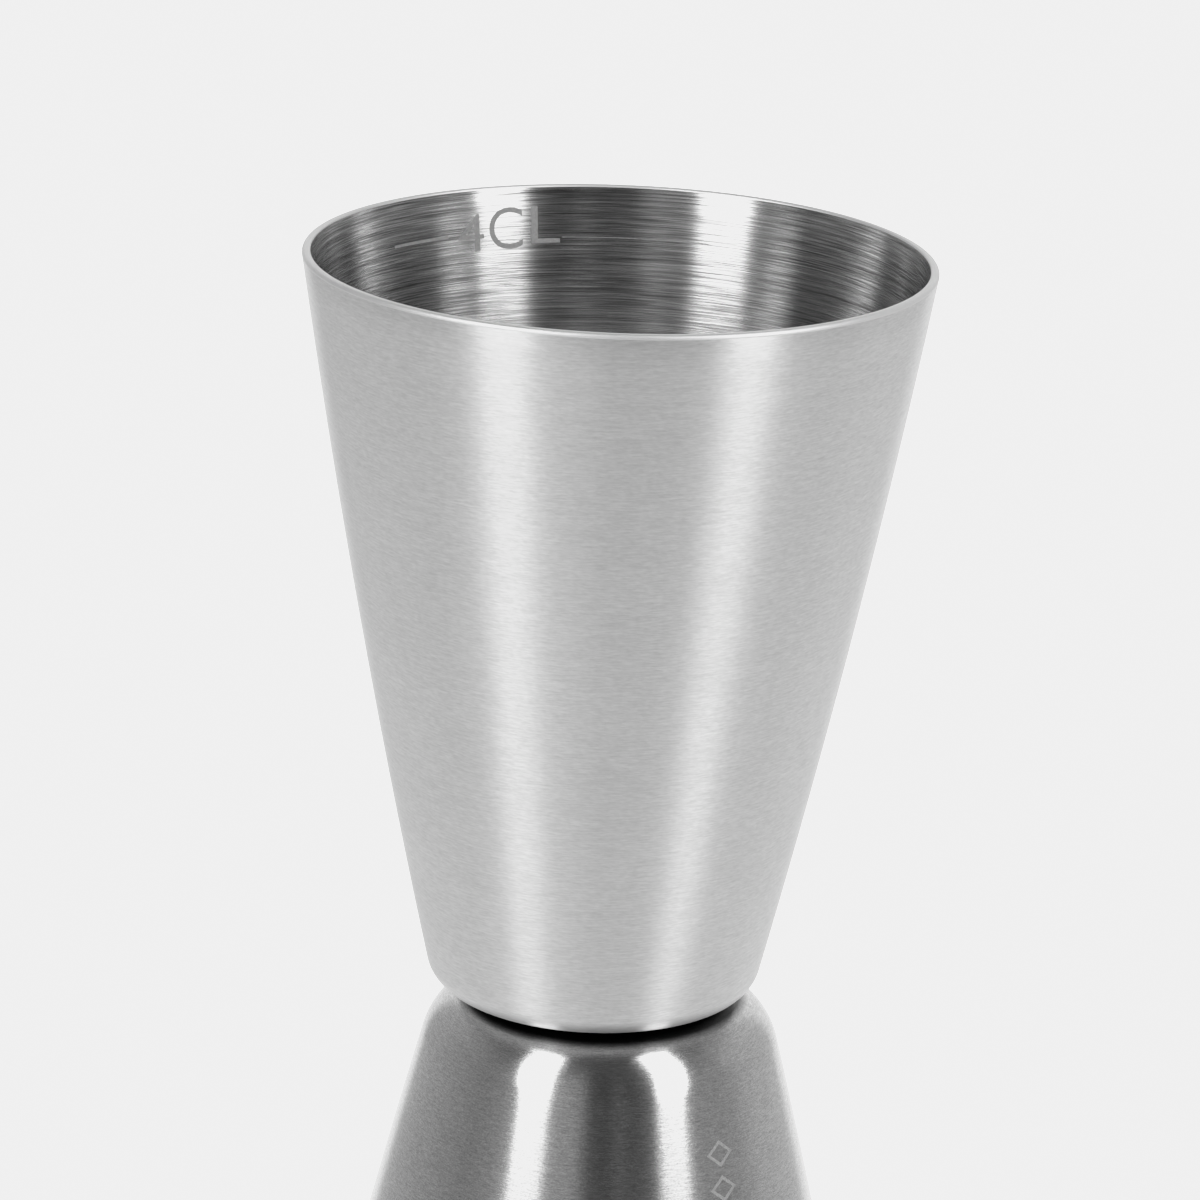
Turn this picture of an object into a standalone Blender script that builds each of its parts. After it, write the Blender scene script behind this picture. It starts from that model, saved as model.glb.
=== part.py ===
"""Bar jigger: two drawn stainless steel cups, spot welded base to base.

The tall cup stands mouth up on the short one, which rests mouth down on the table.
Each cup is one closed solid of constant sheet thickness, turned about its own axis.
Units are metres, +Z is up, and the origin is on the table, on the tall cup's axis.
"""
import math
from collections import namedtuple

import bmesh
import bpy
from mathutils import Vector

MM = 0.001

# A cup's outside: a flat base, a rounded corner, then a wall that leans outward and
# straightens a little towards the mouth. foot_lean is the wall's angle from vertical
# where it leaves the corner.
Cup = namedtuple("Cup", "height mouth_radius base_radius corner_radius foot_lean")

UPPER_CUP = Cup(height=52.4 * MM, mouth_radius=21.54 * MM, base_radius=9.51 * MM,
                corner_radius=2.26 * MM, foot_lean=math.radians(13.0))
LOWER_CUP = Cup(height=33.0 * MM, mouth_radius=19.35 * MM, base_radius=7.64 * MM,
                corner_radius=5.09 * MM, foot_lean=math.radians(14.5))

SHEET = 0.6 * MM                # thickness of the drawn sheet
LIP_ROUNDING = 0.18 * MM        # radius on both edges of each trimmed lip
LOWER_CUP_OFFSET = 0.65 * MM    # how far off the tall cup's axis the short one is welded

WELD_GAP = 0.3 * MM             # set-down left between the two bases by the welds
WELD_COUNT = 3
WELD_RADIUS = 1.5 * MM
WELD_CIRCLE_RADIUS = 5.0 * MM
WELD_CLEARANCE = 0.03 * MM      # between a nugget's faces and the two bases

LATHE_STEPS = 64
NUGGET_STEPS = 24
CORNER_STEPS = 6
WALL_STEPS = 4
LIP_STEPS = 3
NUGGET_EDGE_STEPS = 4
MERGE_DISTANCE = 0.0005 * MM
SHARP_ANGLE = math.radians(35.0)

CUP_STEEL = (0.56, 0.56, 0.56)
NUGGET_STEEL = (0.30, 0.30, 0.31)


def arc(centre, radius, start, end, steps):
    """Points on a circle, where an angle is the heading of the outline there.

    Heading 0 runs outward (+X) along the circle's bottom, and a quarter turn runs up.
    """
    angles = [start + (end - start) * step / steps for step in range(steps + 1)]
    return [Vector((centre.x + radius * math.sin(angle), centre.y - radius * math.cos(angle)))
            for angle in angles]


def wall_circle(cup):
    """Centre and radius of the wall's long arc, and its heading where it leaves the corner."""
    foot_heading = math.pi / 2 - cup.foot_lean
    corner = Vector((cup.base_radius, cup.corner_radius))
    foot = arc(corner, cup.corner_radius, 0.0, foot_heading, 1)[-1]
    chord = Vector((cup.mouth_radius, cup.height)) - foot
    half_turn = math.atan2(chord.y, chord.x) - foot_heading
    radius = chord.length / (2 * math.sin(half_turn))
    centre = foot - radius * Vector((math.sin(foot_heading), -math.cos(foot_heading)))
    return centre, radius, foot_heading


def cup_section(cup):
    """Half section of a cup that stands on z = 0: up its outside, over the lip, down inside."""
    wall, wall_radius, foot_heading = wall_circle(cup)
    corner = Vector((cup.base_radius, cup.corner_radius))

    def lip_edge(depth):
        """Centre of the lip rounding whose centre lies this deep in the sheet, and its heading."""
        radius = wall_radius - depth
        heading = math.acos((wall.y - (cup.height - LIP_ROUNDING)) / radius)
        return arc(wall, radius, heading, heading, 1)[0], heading

    outer_lip, outer_heading = lip_edge(LIP_ROUNDING)
    inner_lip, inner_heading = lip_edge(SHEET - LIP_ROUNDING)
    inside_corner = cup.corner_radius - SHEET
    inside_wall = wall_radius - SHEET

    section = [Vector((0.0, 0.0))]
    section += arc(corner, cup.corner_radius, 0.0, foot_heading, CORNER_STEPS)
    section += arc(wall, wall_radius, foot_heading, outer_heading, WALL_STEPS)[1:]
    section += arc(outer_lip, LIP_ROUNDING, outer_heading, math.pi, LIP_STEPS)[1:]
    section += arc(inner_lip, LIP_ROUNDING, math.pi, math.pi + inner_heading, LIP_STEPS)
    section += arc(wall, inside_wall, inner_heading, foot_heading, WALL_STEPS)[1:]
    section += arc(corner, inside_corner, foot_heading, 0.0, CORNER_STEPS)[1:]
    section += [Vector((0.0, SHEET))]
    return section


def nugget_section(thickness):
    """Half section of a weld nugget: a thin disc with a bulged edge."""
    edge_radius = thickness / 2
    edge = Vector((WELD_RADIUS - edge_radius, edge_radius))
    outline = arc(edge, edge_radius, 0.0, math.pi, NUGGET_EDGE_STEPS)
    return [Vector((0.0, 0.0))] + outline + [Vector((0.0, thickness))]


def steel(name, colour, roughness):
    material = bpy.data.materials.new(name)
    material.use_nodes = True
    shader = material.node_tree.nodes["Principled BSDF"]
    shader.inputs["Base Color"].default_value = (*colour, 1.0)
    shader.inputs["Metallic"].default_value = 1.0
    shader.inputs["Roughness"].default_value = roughness
    return material


def turned(name, section, steps, material):
    """Turn a half section, which starts and ends on the axis, into a named solid."""
    mesh = bpy.data.meshes.new(name)
    solid = bmesh.new()
    points = [solid.verts.new((point.x, 0.0, point.y)) for point in section]
    edges = [solid.edges.new(pair) for pair in zip(points, points[1:])]
    bmesh.ops.spin(solid, geom=points + edges, cent=(0, 0, 0), axis=(0, 0, 1),
                   angle=math.tau, steps=steps)
    bmesh.ops.remove_doubles(solid, verts=solid.verts, dist=MERGE_DISTANCE)
    bmesh.ops.recalc_face_normals(solid, faces=solid.faces)
    solid.to_mesh(mesh)
    solid.free()
    mesh.shade_smooth()
    mesh.set_sharp_from_angle(angle=SHARP_ANGLE)
    mesh.materials.append(material)
    piece = bpy.data.objects.new(name, mesh)
    bpy.context.scene.collection.objects.link(piece)
    return piece


def build_cups():
    """The short cup is turned over, so that its base faces the tall cup's base."""
    lower_base = LOWER_CUP.height
    upper_base = lower_base + WELD_GAP
    lower = turned("lower_cup", cup_section(LOWER_CUP), LATHE_STEPS,
                   steel("lower_cup_steel", CUP_STEEL, 0.24))
    lower.rotation_euler.x = math.pi
    lower.location = (LOWER_CUP_OFFSET, 0.0, lower_base)
    upper = turned("upper_cup", cup_section(UPPER_CUP), LATHE_STEPS,
                   steel("upper_cup_steel", CUP_STEEL, 0.30))
    upper.location.z = upper_base


def build_welds():
    """Weld nuggets on a circle between the two bases."""
    thickness = WELD_GAP - 2 * WELD_CLEARANCE
    material = steel("nugget_steel", NUGGET_STEEL, 0.55)
    for index in range(WELD_COUNT):
        angle = math.tau * index / WELD_COUNT
        nugget = turned(f"weld_nugget_{index + 1}", nugget_section(thickness), NUGGET_STEPS, material)
        nugget.location = (WELD_CIRCLE_RADIUS * math.cos(angle),
                           WELD_CIRCLE_RADIUS * math.sin(angle),
                           LOWER_CUP.height + WELD_CLEARANCE)


def main():
    for leftover in list(bpy.data.objects):
        bpy.data.objects.remove(leftover)
    build_cups()
    build_welds()


main()
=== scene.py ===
"""Looks for the bar jigger: finely turned cups, etched marks, brushed steel and a studio."""
import math
from collections import namedtuple

import bmesh
import bpy
from mathutils import Euler, Matrix, Vector


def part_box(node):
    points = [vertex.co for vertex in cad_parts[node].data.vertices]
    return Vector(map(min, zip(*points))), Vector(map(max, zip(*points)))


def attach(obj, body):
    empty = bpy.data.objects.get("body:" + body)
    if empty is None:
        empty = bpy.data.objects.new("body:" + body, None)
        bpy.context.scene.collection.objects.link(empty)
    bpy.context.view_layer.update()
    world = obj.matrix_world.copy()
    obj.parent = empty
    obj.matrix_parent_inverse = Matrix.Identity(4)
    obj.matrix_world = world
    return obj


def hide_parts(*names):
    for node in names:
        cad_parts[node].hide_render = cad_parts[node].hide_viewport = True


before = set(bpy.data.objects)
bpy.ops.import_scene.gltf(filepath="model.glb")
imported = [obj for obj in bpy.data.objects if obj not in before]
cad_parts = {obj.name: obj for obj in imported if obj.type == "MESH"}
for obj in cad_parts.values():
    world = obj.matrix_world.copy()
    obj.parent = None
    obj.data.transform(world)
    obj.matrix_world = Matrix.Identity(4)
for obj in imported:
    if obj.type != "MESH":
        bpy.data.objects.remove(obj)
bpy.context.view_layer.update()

MM = 0.001

# ---------------------------------------------------------------- the cups' outlines
# Heights and mouths come from the frame. The rest of each outside is a flat base, a
# corner arc and a wall arc, which leaves the corner foot_lean from vertical.
Cup = namedtuple("Cup", "name height mouth_radius base_radius corner_radius foot_lean")
SHEET = 0.6 * MM
OUTER_ROUNDING = 0.27 * MM      # the lip's outer edge is polished rounder than its inner one
INNER_ROUNDING = 0.18 * MM
ROUNDED_OFF = 0.033 * MM        # how far beyond a cup's box its wall would end with no rounding
CORNER_STEPS = 16
WALL_STEPS = 24
LIP_STEPS = 6
FLOOR_STEPS = 36
LATHE_STEPS = 256

OUTSIDE, LIP, INSIDE = 0, 1, 2


def cup_from_frame(node, base_radius, corner_radius, foot_lean):
    low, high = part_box(node)
    mouth_radius = (high.x - low.x) / 2 + ROUNDED_OFF
    return Cup(node, high.z - low.z, mouth_radius, base_radius, corner_radius, foot_lean)


UPPER = cup_from_frame("upper_cup", 9.51 * MM, 2.26 * MM, math.radians(13.0))
LOWER = cup_from_frame("lower_cup", 7.64 * MM, 5.09 * MM, math.radians(14.5))
UPPER_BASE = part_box("upper_cup")[0].z
LOWER_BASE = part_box("lower_cup")[1].z
LOWER_AXIS = (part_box("lower_cup")[0].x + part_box("lower_cup")[1].x) / 2


def arc(centre, radius, start, end, steps):
    """Points on a circle, where an angle is the outline's heading there, 0 being outward."""
    angles = [start + (end - start) * step / steps for step in range(steps + 1)]
    return [Vector((centre.x + radius * math.sin(a), centre.y - radius * math.cos(a)))
            for a in angles]


def wall_circle(cup):
    """Centre and radius of the wall's long arc, and its heading where it leaves the corner."""
    heading = math.pi / 2 - cup.foot_lean
    corner = Vector((cup.base_radius, cup.corner_radius))
    foot = arc(corner, cup.corner_radius, 0.0, heading, 1)[-1]
    chord = Vector((cup.mouth_radius, cup.height)) - foot
    half_turn = math.atan2(chord.y, chord.x) - heading
    radius = chord.length / (2 * math.sin(half_turn))
    centre = foot - radius * Vector((math.sin(heading), -math.cos(heading)))
    return centre, radius, heading


def wall_point(cup, height, depth):
    """Point of the wall at a height, this deep in the sheet, and the outward normal there."""
    centre, radius, _ = wall_circle(cup)
    radius -= depth
    heading = math.acos((centre.y - height) / radius)
    normal = Vector((math.sin(heading), -math.cos(heading)))
    return arc(centre, radius, heading, heading, 1)[0], normal


def cup_section(cup):
    """Half section as (point, surface) pairs: up the outside, over the lip, down inside."""
    wall, wall_radius, foot = wall_circle(cup)
    corner = Vector((cup.base_radius, cup.corner_radius))
    outer_lip, outer_normal = wall_point(cup, cup.height - OUTER_ROUNDING, OUTER_ROUNDING)
    inner_lip, inner_normal = wall_point(cup, cup.height - INNER_ROUNDING, SHEET - INNER_ROUNDING)
    outer_end = math.atan2(outer_normal.x, -outer_normal.y)
    inner_end = math.atan2(inner_normal.x, -inner_normal.y)
    floor = [Vector((cup.base_radius * (1 - step / FLOOR_STEPS), SHEET))
             for step in range(1, FLOOR_STEPS + 1)]
    runs = [
        (OUTSIDE, [Vector((0.0, 0.0))] + arc(corner, cup.corner_radius, 0.0, foot, CORNER_STEPS)),
        (OUTSIDE, arc(wall, wall_radius, foot, outer_end, WALL_STEPS)[1:]),
        (LIP, arc(outer_lip, OUTER_ROUNDING, outer_end, math.pi, LIP_STEPS)[1:]),
        (LIP, arc(inner_lip, INNER_ROUNDING, math.pi, math.pi + inner_end, LIP_STEPS)),
        (INSIDE, arc(wall, wall_radius - SHEET, inner_end, foot, WALL_STEPS)[1:]),
        (INSIDE, arc(corner, cup.corner_radius - SHEET, foot, 0.0, CORNER_STEPS)[1:]),
        (INSIDE, floor),
    ]
    return [(point, surface) for surface, points in runs for point in points]


# ---------------------------------------------------------------- node graphs
# A colour mix's sockets go by number, because a mix node's names repeat.
MIX_COLOUR_INPUTS = (0, 6, 7)   # factor, first colour, second colour
MIX_COLOUR_OUTPUT = 2


class Graph:
    """Small helper that adds nodes to a material, a light or a world and links them as it goes."""

    def __init__(self, owner):
        owner.use_nodes = True
        self.tree = owner.node_tree
        self.tree.nodes.clear()

    def add(self, kind, *sockets, **settings):
        node = self.tree.nodes.new(kind)
        for key, value in settings.items():
            setattr(node, key, value)
        self.feed(node, dict(enumerate(sockets)))
        return node

    def feed(self, node, values):
        """Link or set a node's inputs, by name or by number. None leaves one alone."""
        for key, value in values.items():
            if value is None:
                continue
            if isinstance(value, bpy.types.NodeSocket):
                self.tree.links.new(value, node.inputs[key])
            else:
                node.inputs[key].default_value = value

    def end(self, kind, surface):
        """Feed the tree's output node."""
        self.feed(self.add(kind), {"Surface": surface})

    def math(self, operation, a, b=None, clamp=False):
        return self.add("ShaderNodeMath", a, b, operation=operation, use_clamp=clamp).outputs[0]

    def remap(self, value, low, high, to_low, to_high):
        return self.add("ShaderNodeMapRange", value, low, high, to_low, to_high).outputs[0]

    def object_position(self):
        return self.add("ShaderNodeTexCoord").outputs["Object"]

    def noise(self, vector, detail, roughness, scale=1.0):
        node = self.add("ShaderNodeTexNoise")
        self.feed(node, {"Vector": vector, "Scale": scale, "Detail": detail,
                         "Roughness": roughness})
        return node.outputs["Fac"]

    def bump(self, height):
        """A normal tilted by a height in metres."""
        node = self.add("ShaderNodeBump")
        self.feed(node, {"Strength": 1.0, "Distance": 1.0, "Height": height})
        return node.outputs[0]

    def mix(self, factor, first, second):
        """Blend of two colours."""
        node = self.add("ShaderNodeMix", data_type="RGBA")
        self.feed(node, dict(zip(MIX_COLOUR_INPUTS, (factor, first, second))))
        return node.outputs[MIX_COLOUR_OUTPUT]


def grey(tone):
    return (tone, tone, tone, 1.0)


# ---------------------------------------------------------------- brushed steel
# One set of brushing lines: the sizes of its noise round the cup and across the lines, how
# steeply the lines climb across the cup, how high they stand and how far they change the
# tone. The sizes and the height are in millimetres.
Lines = namedtuple("Lines", "along across climb bump tone")
STREAK_DETAIL = 1.0
STREAK_ROUGHNESS = 0.6
NOISE_RANGE = (0.3, 0.7)        # where nearly all of a noise's values lie
CLOUD_SIZE = (9.0, 5.0)         # mm, round the cup and across
CLOUD_DETAIL = 4.0
CLOUD_ROUGHNESS = 0.55
ACROSS_THE_LINES = 0.25         # turns the long axis of a highlight from round the cup to up it
# Black of the shade painted along the crevice where the two cups meet.
CREVICE_SHADE_BLACK = 0.1


def turned_coordinates(graph, along, across, climb=0.0):
    """Texture space of a turned surface: long round the axis, short across the brushing.

    along and across are the sizes in millimetres of one unit of noise. A climb makes the
    lines cross, so that they don't all close into rings.
    """
    x, y, z = graph.add("ShaderNodeSeparateXYZ", graph.object_position()).outputs
    radius = graph.math("SQRT", graph.math("ADD", graph.math("MULTIPLY", x, x),
                                           graph.math("MULTIPLY", y, y)))
    level = graph.math("ADD", z, radius)
    level = graph.math("ADD", level, graph.math("MULTIPLY", graph.math("ADD", x, y), climb))
    combined = graph.add("ShaderNodeCombineXYZ", graph.math("DIVIDE", x, along * MM),
                         graph.math("DIVIDE", y, along * MM),
                         graph.math("DIVIDE", level, across * MM))
    return combined.outputs[0]


def painted_base_shade(graph, black_radius, clean_radius):
    """Painted shade on a cup's base, in the crevice where the two cups meet: black out to one
    radius and unshaded from the other one on, in millimetres. The wall lies beyond both."""
    flat = graph.add("ShaderNodeVectorMath", graph.object_position(), (1.0, 1.0, 0.0),
                     operation="MULTIPLY")
    radius = graph.add("ShaderNodeVectorMath", flat.outputs[0], operation="LENGTH")
    return graph.remap(radius.outputs["Value"], black_radius * MM, clean_radius * MM,
                       CREVICE_SHADE_BLACK, 1.0)


def brushed_steel(name, colour, roughness, anisotropy, line_sets, mottle, crevice_shade=None):
    """Steel with sets of Lines, and mottled in tone and roughness by a soft cloud.

    Its last argument gives the black and the unshaded radius of the shade painted on the base,
    in the crevice between the cups.
    """
    material = bpy.data.materials.new(name)
    graph = Graph(material)
    height = 0.0
    shade = 1.0
    for lines in line_sets:
        space = turned_coordinates(graph, lines.along, lines.across, lines.climb)
        streak = graph.noise(space, STREAK_DETAIL, STREAK_ROUGHNESS)
        centred = graph.remap(streak, *NOISE_RANGE, -1.0, 1.0)
        shade = graph.math("ADD", shade, graph.math("MULTIPLY", centred, lines.tone))
        height = graph.math("ADD", height, graph.math("MULTIPLY", centred, lines.bump * MM))
    cloud = graph.noise(turned_coordinates(graph, *CLOUD_SIZE), CLOUD_DETAIL, CLOUD_ROUGHNESS)
    cloud = graph.math("MULTIPLY", graph.math("SUBTRACT", cloud, 0.5), mottle)
    shade = graph.math("ADD", shade, cloud)
    # Painted shade: the base darkens to black towards the crevice where the two cups meet.
    if crevice_shade:
        shade = graph.math("MULTIPLY", shade, painted_base_shade(graph, *crevice_shade))
    tinted = graph.add("ShaderNodeCombineColor",
                       *(graph.math("MULTIPLY", shade, part) for part in colour))
    tangent = graph.add("ShaderNodeTangent", direction_type="RADIAL", axis="Z")
    shader = graph.add("ShaderNodeBsdfPrincipled")
    graph.feed(shader, {
        "Base Color": tinted.outputs[0], "Metallic": 1.0,
        "Roughness": graph.math("ADD", roughness, cloud),
        "Anisotropic": anisotropy, "Anisotropic Rotation": ACROSS_THE_LINES,
        "Normal": graph.bump(height), "Tangent": tangent.outputs[0]})
    graph.end("ShaderNodeOutputMaterial", shader.outputs[0])
    return material


def outside_satin():
    """Dull brushing outside the tall cup, in two crossing sets and a coarse one."""
    return brushed_steel("outside_satin", (0.61, 0.61, 0.61), 0.35, 0.94, [
        Lines(along=0.45, across=0.14, climb=0.05, bump=0.0006, tone=0.05),
        Lines(along=1.10, across=0.13, climb=-0.05, bump=0.0006, tone=0.06),
        Lines(along=4.0, across=0.30, climb=0.0, bump=0.0006, tone=0.02),
    ], mottle=0.06, crevice_shade=(9.3, 10.0))


def outside_bright():
    """Finer and glossier brushing outside the short cup."""
    return brushed_steel("outside_bright", (0.535, 0.535, 0.535), 0.20, 0.80, [
        Lines(along=0.14, across=0.09, climb=0.04, bump=0.0003, tone=0.18),
        Lines(along=0.60, across=0.10, climb=-0.04, bump=0.0003, tone=0.15),
        Lines(along=4.0, across=0.25, climb=0.0, bump=0.0006, tone=0.03),
    ], mottle=0.04, crevice_shade=(9.7, 10.35))


def inside_turned():
    """Long turning grooves inside both cups."""
    return brushed_steel("inside_turned", (0.455, 0.455, 0.455), 0.24, 0.97, [
        Lines(along=3.0, across=0.08, climb=0.006, bump=0.0005, tone=0.42),
        Lines(along=9.0, across=0.08, climb=-0.008, bump=0.0005, tone=0.42),
        Lines(along=30.0, across=0.20, climb=0.0, bump=0.001, tone=0.12),
    ], mottle=0.05)


def lip_polish():
    """Trimmed lips, rubbed smooth."""
    return brushed_steel("lip_polish", (0.74, 0.74, 0.74), 0.52, 0.0, [
        Lines(along=1.5, across=0.06, climb=0.0, bump=0.0002, tone=0.03),
    ], mottle=0.05)


def weld_metal():
    """Dull, rough metal that was melted and squeezed."""
    return brushed_steel("weld_metal", (0.30, 0.30, 0.31), 0.55, 0.0, [
        Lines(along=0.4, across=0.2, climb=0.0, bump=0.004, tone=0.3),
    ], mottle=0.1)


# ---------------------------------------------------------------- cups
ON_AXIS = 0.001 * MM            # a section's point nearer the axis than this is a pole
WELD_DIMPLE_RADIUS = 1.9 * MM
WELD_DIMPLE_DEPTH = 0.07 * MM
ON_FLOOR = 0.01 * MM            # how far from the inside floor's level a floor vertex may be


def turned_mesh(name, section):
    """Fine lathe of a section, one closed surface, with a material index on each face."""
    shape = bmesh.new()
    turns = [math.tau * step / LATHE_STEPS for step in range(LATHE_STEPS)]
    rings = []
    for point, _ in section:
        if point.x < ON_AXIS:
            rings.append([shape.verts.new((0.0, 0.0, point.y))] * LATHE_STEPS)
        else:
            rings.append([shape.verts.new((point.x * math.cos(t), point.x * math.sin(t), point.y))
                          for t in turns])
    for low, high, (_, surface) in zip(rings, rings[1:], section[1:]):
        for step in range(LATHE_STEPS):
            after = (step + 1) % LATHE_STEPS
            corners = dict.fromkeys((low[step], low[after], high[after], high[step]))
            face = shape.faces.new(list(corners))
            face.material_index = surface
            face.smooth = True
    mesh = bpy.data.meshes.new(name)
    shape.to_mesh(mesh)
    shape.free()
    return mesh


def press_weld_dimples(mesh, spots):
    """The welding electrodes leave a shallow round print on the floor over each nugget."""
    for vertex in mesh.vertices:
        if abs(vertex.co.z - SHEET) > ON_FLOOR:
            continue
        for spot in spots:
            reach = (vertex.co.xy - spot).length / WELD_DIMPLE_RADIUS
            if reach < 1.0:
                vertex.co.z -= WELD_DIMPLE_DEPTH * (1 - reach ** 4) ** 2


def add_piece(name, mesh, place):
    piece = bpy.data.objects.new(name, mesh)
    bpy.context.scene.collection.objects.link(piece)
    piece.matrix_world = place
    return piece


def make_cup(cup, piece_name, materials, place, spots):
    mesh = turned_mesh(piece_name, cup_section(cup))
    local = place.inverted()
    press_weld_dimples(mesh, [(local @ spot).xy for spot in spots])
    for material in materials:
        mesh.materials.append(material)
    piece = add_piece(piece_name, mesh, place)
    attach(piece, "root")
    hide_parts(cup.name)


def middle(node):
    low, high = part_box(node)
    return (low + high) / 2


UPPER_PLACE = Matrix.Translation((0.0, 0.0, UPPER_BASE))
LOWER_PLACE = Matrix.Translation((LOWER_AXIS, 0.0, LOWER_BASE)) @ Matrix.Rotation(math.pi, 4, "X")
NUGGETS = sorted(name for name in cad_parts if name.startswith("weld_nugget"))


def add_cups():
    spots = [middle(name) for name in NUGGETS]
    satin = outside_satin()
    bright = outside_bright()
    inside = inside_turned()
    lip = lip_polish()
    make_cup(UPPER, "tall_cup_skin", (satin, lip, inside), UPPER_PLACE, spots)
    make_cup(LOWER, "short_cup_skin", (bright, lip, inside), LOWER_PLACE, spots)


def dress_nuggets():
    """The nuggets' own surfaces stay, in another metal."""
    metal = weld_metal()
    for name in NUGGETS:
        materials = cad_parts[name].data.materials
        materials.clear()
        materials.append(metal)


# ---------------------------------------------------------------- etched marks
ETCH_STEP = 0.35 * MM           # a slab is cut this often before it is wrapped round a cup
SAME_POINT = 0.0005 * MM        # a cut's points closer than this to a corner join it
ETCH_PROUD = 0.008 * MM
ETCH_SUNK = 0.03 * MM
ETCH_TONES = (0.30, 0.45)
ETCH_METAL = 0.4
ETCH_ROUGHNESS = 0.62
ETCH_GRAIN = (2.0, 0.6, 9000.0)     # noise detail, noise roughness, grains a metre
ETCH_GRAIN_HEIGHT = 0.01 * MM
FIGURE_OFFSET = -0.004          # thins the letters' strokes, as a part of their size
FIGURE_CURVE_STEPS = 6
FIGURE_SEAM = 1e-5              # widest seam to close, as a part of a letter's size

FILL_LINE_DEPTH = 3.2 * MM      # below the lip
FILL_LINE_WIDTH = 0.20 * MM
FILL_LINE_LENGTH = 5.0 * MM
FILL_LINE_TURN = math.radians(-50.8)

# Each figure's start to the right of FIGURES_TURN, its width and height, and how far its
# middle stands above the fill line. The figures climb a little to the right.
Figure = namedtuple("Figure", "start width height climb")
FIGURES_TURN = math.radians(-34.3)
FIGURES = (Figure(0.0 * MM, 2.04 * MM, 2.66 * MM, 0.13 * MM),
           Figure(2.48 * MM, 2.55 * MM, 3.00 * MM, 0.28 * MM),
           Figure(5.68 * MM, 2.10 * MM, 2.66 * MM, 0.44 * MM))

# A single brighter groove, left by the turning tool beside the tall cup's figures.
GROOVE_DEPTH = 3.68 * MM
GROOVE_WIDTH = 0.05 * MM
GROOVE_LENGTH = 10.6 * MM
GROOVE_TURN = math.radians(-12.1)

LOZENGE_TURN = math.radians(39.0)
LOZENGE_WIDTH = 2.2 * MM
LOZENGE_HEIGHT = 1.9 * MM
LOZENGE_STROKE = 0.30 * MM
LOZENGE_TOP = 8.0 * MM
LOZENGE_PITCH = 2.4 * MM
LOZENGE_COUNT = 6


def etched_steel():
    material = bpy.data.materials.new("laser_etching")
    graph = Graph(material)
    grain = graph.noise(graph.object_position(), *ETCH_GRAIN)
    tone = graph.remap(grain, *NOISE_RANGE, *ETCH_TONES)
    colour = graph.add("ShaderNodeCombineColor", tone, tone, tone)
    shader = graph.add("ShaderNodeBsdfPrincipled")
    graph.feed(shader, {
        "Base Color": colour.outputs[0], "Metallic": ETCH_METAL, "Roughness": ETCH_ROUGHNESS,
        "Normal": graph.bump(graph.math("MULTIPLY", grain, ETCH_GRAIN_HEIGHT))})
    graph.end("ShaderNodeOutputMaterial", shader.outputs[0])
    return material


def thicken(shape, faces):
    """Make flat faces into a closed slab, one unit thick in Z."""
    top = bmesh.ops.extrude_face_region(shape, geom=faces)["geom"]
    bmesh.ops.translate(shape, verts=[v for v in top if isinstance(v, bmesh.types.BMVert)],
                        vec=(0.0, 0.0, 1.0))
    return shape


def line_slab(length, width):
    """Slab of a straight line, which starts at x = 0."""
    shape = bmesh.new()
    corners = ((0.0, -width / 2), (length, -width / 2), (length, width / 2), (0.0, width / 2))
    face = shape.faces.new([shape.verts.new((x, y, 0.0)) for x, y in corners])
    return thicken(shape, [face])


def lozenge_slab(width, height, stroke):
    """Slab of a hollow lozenge."""
    shape = bmesh.new()
    rings = []
    for inset in (0.0, stroke):
        across, up = width / 2 - inset, height / 2 - inset
        corners = ((across, 0.0), (0.0, up), (-across, 0.0), (0.0, -up))
        rings.append([shape.verts.new((x, y, 0.0)) for x, y in corners])
    outer, inner = rings
    sides = [(side, (side + 1) % len(outer)) for side in range(len(outer))]
    return thicken(shape, [shape.faces.new((outer[a], outer[b], inner[b], inner[a]))
                           for a, b in sides])


def figure_slab(figure, width, height):
    """Slab of one plain figure, stretched to a width and a height, which starts at x = 0."""
    curve = bpy.data.curves.new(figure, "FONT")
    curve.body = figure
    curve.extrude = 0.5
    curve.offset = FIGURE_OFFSET
    curve.resolution_u = FIGURE_CURVE_STEPS
    holder = bpy.data.objects.new(figure, curve)
    bpy.context.scene.collection.objects.link(holder)
    bpy.context.view_layer.update()
    mesh = bpy.data.meshes.new_from_object(holder)
    bpy.data.objects.remove(holder)
    bpy.data.curves.remove(curve)
    shape = bmesh.new()
    shape.from_mesh(mesh)
    bpy.data.meshes.remove(mesh)
    bmesh.ops.remove_doubles(shape, verts=shape.verts, dist=FIGURE_SEAM)
    xs = [v.co.x for v in shape.verts]
    ys = [v.co.y for v in shape.verts]
    left, right, bottom, top = min(xs), max(xs), min(ys), max(ys)
    for vertex in shape.verts:
        vertex.co.x = (vertex.co.x - left) / (right - left) * width
        vertex.co.y = ((vertex.co.y - bottom) / (top - bottom) - 0.5) * height
        vertex.co.z += 0.5
    return shape


def cut_into_columns(shape):
    """Cut a slab across at every ETCH_STEP, so that it can bend round a cup."""
    columns = [v.co.x for v in shape.verts]
    cut = min(columns) + ETCH_STEP
    while cut < max(columns):
        bmesh.ops.bisect_plane(shape, geom=shape.verts[:] + shape.edges[:] + shape.faces[:],
                               plane_co=(cut, 0, 0), plane_no=(1, 0, 0))
        cut += ETCH_STEP
    bmesh.ops.remove_doubles(shape, verts=shape.verts, dist=SAME_POINT)


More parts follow.
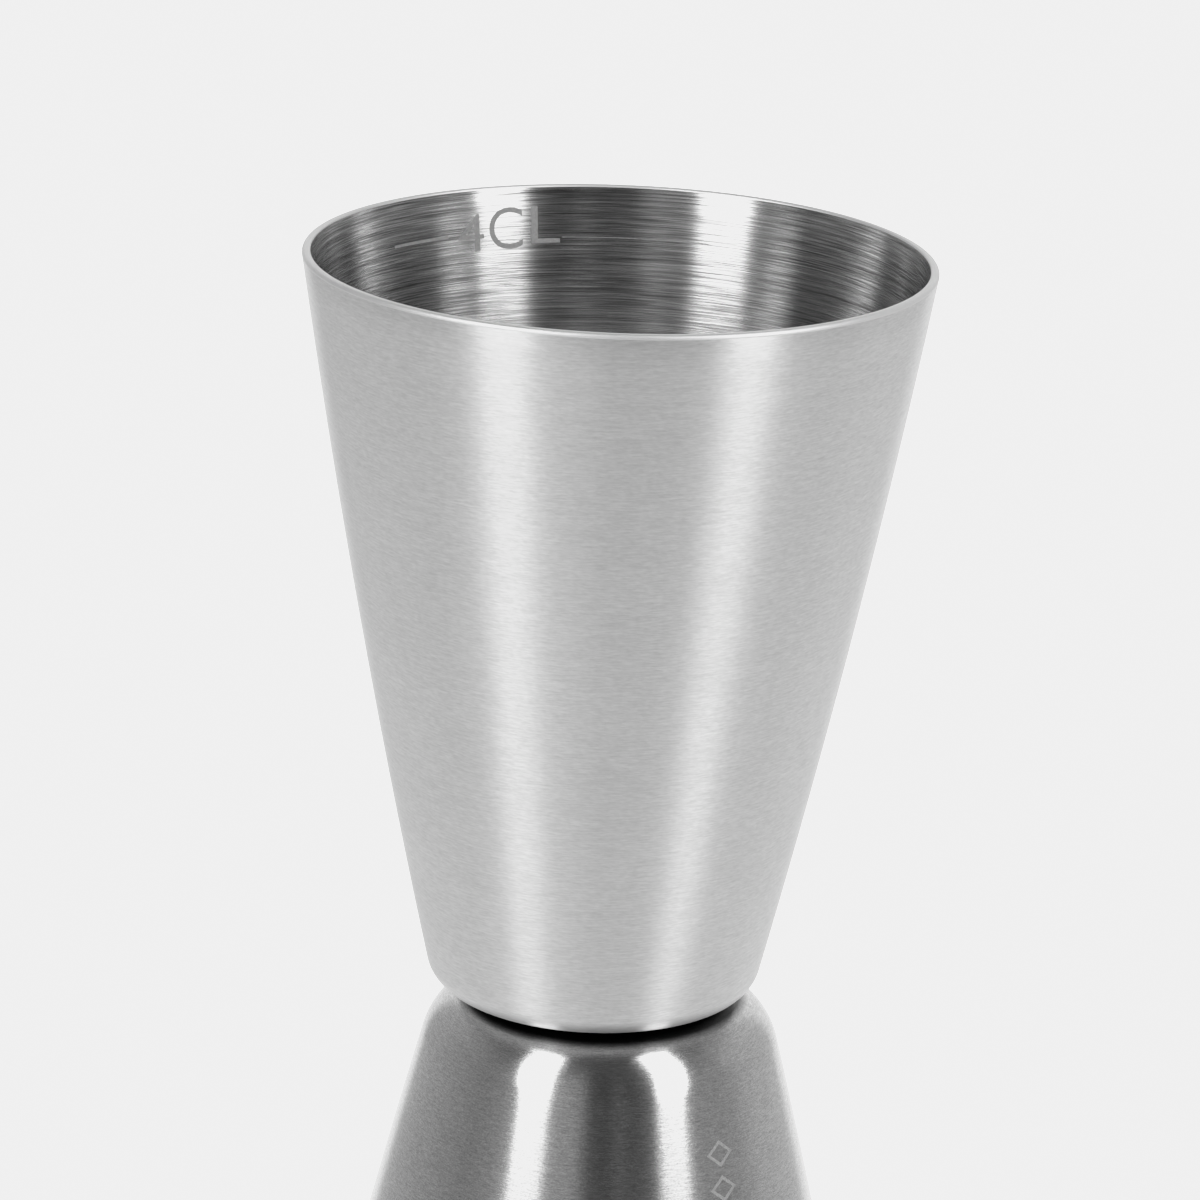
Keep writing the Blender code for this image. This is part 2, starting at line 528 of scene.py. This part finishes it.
def etch(name, shape, cup, place, inside, turn, height, material):
    """Wrap a slab onto a cup's wall: x runs round it, y up it, and the top face shows.

    turn is where x = 0 lies, as an angle about the cup's axis from +Y towards +X when
    seen from above in the cup's own frame, and height is where y = 0 lies.
    """
    cut_into_columns(shape)
    depth = SHEET if inside else 0.0
    side = -1.0 if inside else 1.0
    wall_radius = wall_point(cup, height, depth)[0].x
    lean = math.cos(cup.foot_lean)
    for vertex in shape.verts:
        at, normal = wall_point(cup, height + vertex.co.y * lean, depth)
        stand = ETCH_PROUD if vertex.co.z > 0.5 else -ETCH_SUNK
        at = at + normal * stand * side
        angle = turn - side * vertex.co.x / wall_radius
        vertex.co = Vector((at.x * math.sin(angle), at.x * math.cos(angle), at.y))
    bmesh.ops.recalc_face_normals(shape, faces=shape.faces)
    mesh = bpy.data.meshes.new(name)
    shape.to_mesh(mesh)
    shape.free()
    mesh.materials.append(material)
    piece = add_piece(name, mesh, place)
    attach(piece, "root")


def etch_fill_mark(cup, place, text, material):
    """A fill line inside a cup, and to the right of it how much the cup holds up to there."""
    level = cup.height - FILL_LINE_DEPTH
    etch(f"fill_line_{cup.name}", line_slab(FILL_LINE_LENGTH, FILL_LINE_WIDTH),
         cup, place, True, FILL_LINE_TURN, level, material)
    for letter, figure in zip(text, FIGURES):
        turn = FIGURES_TURN + figure.start / wall_point(cup, level, SHEET)[0].x
        etch(f"figure_{letter}_{cup.name}", figure_slab(letter, figure.width, figure.height),
             cup, place, True, turn, level + figure.climb, material)


def etch_marks():
    etching = etched_steel()
    etch_fill_mark(UPPER, UPPER_PLACE, "4CL", etching)
    etch_fill_mark(LOWER, LOWER_PLACE, "2CL", etching)
    etch("turning_groove", line_slab(GROOVE_LENGTH, GROOVE_WIDTH),
         UPPER, UPPER_PLACE, True, GROOVE_TURN, UPPER.height - GROOVE_DEPTH, etching)
    for index in range(LOZENGE_COUNT):
        etch(f"lozenge_mark_{index + 1}",
             lozenge_slab(LOZENGE_WIDTH, LOZENGE_HEIGHT, LOZENGE_STROKE),
             LOWER, LOWER_PLACE, False, LOZENGE_TURN, LOZENGE_TOP + index * LOZENGE_PITCH, etching)


# ---------------------------------------------------------------- studio
FLOOR_RADIUS = 4.0
FLOOR_SIDES = 96
FLOOR_DROP = 0.02 * MM          # keeps the floor clear of the lip that rests on it
FLOOR_TONE = 1.0
FLOOR_GLOW = 0.30               # the floor's own light next to the jigger
FLOOR_ALBEDO = 0.6
SHADOW_REACH = (0.02, 0.075)    # where the glow starts to rise, and where it is full

# What the steel sees round it, as (degrees right of the camera side, tone): a dark room in
# front, grey sides, and a white backdrop behind.
ROOM = ((-180, 1.00), (-154, 1.00), (-147, 0.56), (-128, 0.50), (-107, 0.42), (-75, 0.28),
        (-56, 0.34), (-24, 0.40), (-14, 0.40), (-8, 0.26), (-4, 0.10), (6, 0.07), (14, 0.13),
        (22, 0.08), (30, 0.11), (60, 0.33), (88, 0.40), (106, 0.58), (143, 0.68), (151, 1.00),
        (180, 1.00))

# What takes over from the room above and below: the sine of the elevation where it starts
# and where it is full, and its tone. They are the ceiling, its lighter middle and the lit
# table top.
OVER_AND_UNDER = ((0.5, 0.95, 0.09), (0.965, 0.995, 0.35), (-0.26, -0.42, 1.10))

Softbox = namedtuple("Softbox", "name turn lift roll width height radiance foot")
SOFTBOXES = (
    Softbox("left_softbox", turn=-42.5, lift=31.5, roll=-12.5, width=0.32, height=1.24,
            radiance=4.6, foot=0.035),
    Softbox("right_softbox", turn=51.7, lift=34.0, roll=15.0, width=0.30, height=1.34,
            radiance=4.5, foot=0.11))
SOFTBOX_DISTANCE = 0.8
SOFTBOX_FADE = (0.15, 0.275)    # how far up a softbox its foot stays dim, and is full
SOFTBOX_TAPER = (0.45, 0.12)    # how far up its outer edge starts to lean in, and by how much
SOFTBOX_EDGE = 30.0             # steepness of the light's fall at that edge
SOFTBOX_FEATHER = 0.22          # soft part of its inner edge

CAMERA_DISTANCE = 345.06 * MM
CAMERA_HEIGHT = 136.0 * MM      # above the tall cup's base
CAMERA_PITCH = 0.30336          # radians downward
CAMERA_PAN = 0.00148            # radians to the left
CAMERA_ROLL = 0.03887           # radians anticlockwise
CAMERA_LENS = 157.66            # millimetres, as is the sensor's width
CAMERA_SENSOR = 36.0
CAMERA_CLIP = (0.01, 50.0)

CURVE_TOP = 4.0                 # brightest light that the tone curve still tells apart
SHOULDER = 0.78                 # tones up to here are kept
PAPER_WHITE = 0.87
WHITE_STEP = 0.003              # left between a tone of 1 and the paper's white


def pale_floor():
    """White table top that shows from above only. Its glow is weaker round the jigger, where
    the soft lights make up for it, so that the jigger still casts a faint shadow."""
    material = bpy.data.materials.new("pale_floor")
    graph = Graph(material)
    reach = graph.add("ShaderNodeVectorMath", graph.object_position(), operation="LENGTH")
    tone = graph.remap(reach.outputs["Value"], *SHADOW_REACH, FLOOR_GLOW, FLOOR_TONE)
    glow = graph.add("ShaderNodeEmission", grey(1.0), tone)
    matt = graph.add("ShaderNodeBsdfDiffuse", grey(FLOOR_ALBEDO))
    both = graph.add("ShaderNodeAddShader", glow.outputs[0], matt.outputs[0])
    below = graph.add("ShaderNodeNewGeometry").outputs["Backfacing"]
    clear = graph.add("ShaderNodeBsdfTransparent")
    shown = graph.add("ShaderNodeMixShader", below, both.outputs[0], clear.outputs[0])
    graph.end("ShaderNodeOutputMaterial", shown.outputs[0])
    return material


def add_floor():
    """The pale floor that shows; the steel sees the world's table top in its place."""
    turns = [math.tau * step / FLOOR_SIDES for step in range(FLOOR_SIDES)]
    rim = [(FLOOR_RADIUS * math.cos(t), FLOOR_RADIUS * math.sin(t), 0.0) for t in turns]
    mesh = bpy.data.meshes.new("floor")
    mesh.from_pydata(rim, [], [list(range(FLOOR_SIDES))])
    mesh.materials.append(pale_floor())
    floor = bpy.data.objects.new("floor", mesh)
    bpy.context.scene.collection.objects.link(floor)
    floor.location.z = -FLOOR_DROP
    floor.visible_glossy = False
    floor.visible_diffuse = False
    floor.visible_shadow = False


def add_world():
    """The room that the steel sees, and the plain backdrop that the camera sees."""
    world = bpy.data.worlds.new("studio")
    bpy.context.scene.world = world
    graph = Graph(world)
    direction = graph.add("ShaderNodeTexCoord").outputs["Generated"]
    x, y, z = graph.add("ShaderNodeSeparateXYZ", direction).outputs
    turn = graph.math("ARCTAN2", x, graph.math("MULTIPLY", y, -1.0))
    ramp = graph.add("ShaderNodeValToRGB", graph.remap(turn, -math.pi, math.pi, 0.0, 1.0))
    elements = ramp.color_ramp.elements
    while len(elements) < len(ROOM):
        elements.new(0.5)
    for element, (degrees, tone) in zip(elements, ROOM):
        element.position = degrees / 360 + 0.5
        element.color = grey(tone)
    seen = ramp.outputs[0]
    for start, full, tone in OVER_AND_UNDER:
        seen = graph.mix(graph.remap(z, start, full, 0.0, 1.0), seen, grey(tone))
    camera_ray = graph.add("ShaderNodeLightPath").outputs["Is Camera Ray"]
    shown = graph.mix(camera_ray, seen, grey(FLOOR_TONE))
    graph.end("ShaderNodeOutputWorld", graph.add("ShaderNodeBackground", shown, 1.0).outputs[0])


def add_softbox(box):
    """Tall light that faces the jigger, turn degrees right of the camera side and lift degrees
    up, with its top rolled to the right, or to the left if roll is negative. Its foot is dim,
    its outer edge leans in towards the top, and its inner edge is soft."""
    light = bpy.data.lights.new(box.name, "AREA")
    light.shape = "RECTANGLE"
    light.size = box.width
    light.size_y = box.height
    light.energy = box.radiance * math.pi * box.width * box.height
    graph = Graph(light)
    place = graph.add("ShaderNodeNewGeometry").outputs["Parametric"]
    across, up_box, _ = graph.add("ShaderNodeSeparateXYZ", place).outputs
    inward = across if box.turn < 0 else graph.math("SUBTRACT", 1.0, across)
    fade = graph.remap(up_box, *SOFTBOX_FADE, box.foot, 1.0)
    taper_start, taper = SOFTBOX_TAPER
    lean = graph.remap(up_box, taper_start, 1.0, 0.0, taper)
    kept = graph.math("MULTIPLY", graph.math("SUBTRACT", inward, lean), SOFTBOX_EDGE, clamp=True)
    soft = graph.remap(inward, 1.0, 1.0 - SOFTBOX_FEATHER, 0.0, 1.0)
    strength = graph.math("MULTIPLY", fade, graph.math("MULTIPLY", kept, soft))
    glow = graph.add("ShaderNodeEmission", None, strength)
    graph.end("ShaderNodeOutputLight", glow.outputs[0])
    lamp = bpy.data.objects.new(box.name, light)
    bpy.context.scene.collection.objects.link(lamp)
    turn = math.radians(box.turn)
    lift = math.radians(box.lift)
    away = Vector((math.sin(turn) * math.cos(lift), -math.cos(turn) * math.cos(lift),
                   math.sin(lift)))
    lamp.location = away * SOFTBOX_DISTANCE
    facing = Euler((math.pi / 2 - lift, 0.0, turn)).to_matrix()
    roll = Matrix.Rotation(-math.radians(box.roll), 3, "Z")
    lamp.rotation_euler = (facing @ roll).to_euler()
    lamp.visible_camera = False


def add_camera():
    data = bpy.data.cameras.new("camera")
    data.lens = CAMERA_LENS
    data.sensor_width = CAMERA_SENSOR
    data.clip_start, data.clip_end = CAMERA_CLIP
    camera = bpy.data.objects.new("camera", data)
    bpy.context.scene.collection.objects.link(camera)
    camera.location = (0.0, -CAMERA_DISTANCE, UPPER_BASE + CAMERA_HEIGHT)
    level = Euler((math.pi / 2 - CAMERA_PITCH, 0.0, CAMERA_PAN)).to_matrix()
    camera.rotation_euler = (level @ Matrix.Rotation(CAMERA_ROLL, 3, "Z")).to_euler()
    bpy.context.scene.camera = camera


def set_tone_curve():
    """Standard tones with a soft shoulder, so that bright metal ends at the paper's white."""
    view = bpy.context.scene.view_settings
    view.view_transform = "Standard"
    view.use_curve_mapping = True
    mapping = view.curve_mapping
    mapping.clip_max_x = CURVE_TOP
    mapping.extend = "HORIZONTAL"
    curve = mapping.curves[3]
    curve.points[1].location = (CURVE_TOP, PAPER_WHITE)
    for linear, shown in ((SHOULDER, SHOULDER), (1.0, PAPER_WHITE - WHITE_STEP)):
        curve.points.new(linear, shown)
    for point in curve.points[:2]:
        point.handle_type = "VECTOR"
    mapping.update()


add_cups()
etch_marks()
dress_nuggets()
add_floor()
add_world()
for softbox in SOFTBOXES:
    add_softbox(softbox)
add_camera()
set_tone_curve()
